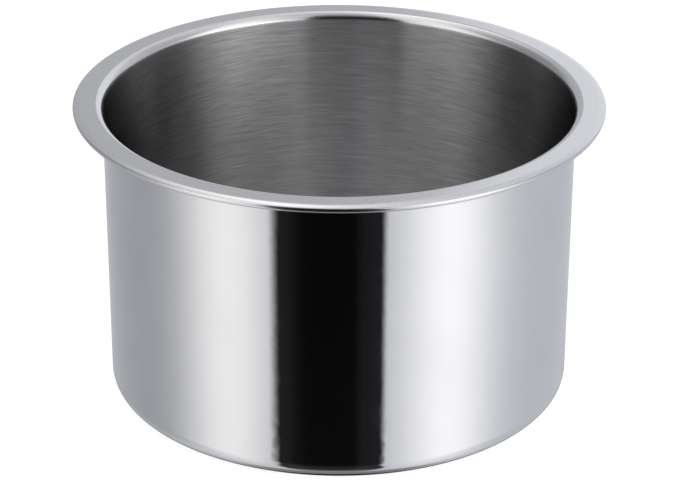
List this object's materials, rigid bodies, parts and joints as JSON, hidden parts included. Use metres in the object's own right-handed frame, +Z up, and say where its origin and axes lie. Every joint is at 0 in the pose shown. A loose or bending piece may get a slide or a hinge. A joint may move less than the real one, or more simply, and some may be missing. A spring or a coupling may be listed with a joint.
{
  "type": "soup kettle insert pot",
  "caption": "Round deep-drawn stainless steel pot that hangs in a soup kettle by its flat flange, with a slightly tapered mirror-polished wall, a brushed inside and a sloping brim curled under at the edge.",
  "frame": {"origin": "centre of the flat base's underside, where the pot stands", "axes": "+Z up along the pot's axis, out of its mouth; the pot is round, so X and Y are alike"},
  "size_m": [0.305, 0.305, 0.1775],
  "materials": {
    "stainless_steel": "mirror-polished outside, polished neck, flange and curled edge, inside brushed round the axis"
  },
  "bodies": {
    "root": {"insert_pot": "stainless_steel"}
  },
  "joints": []
}
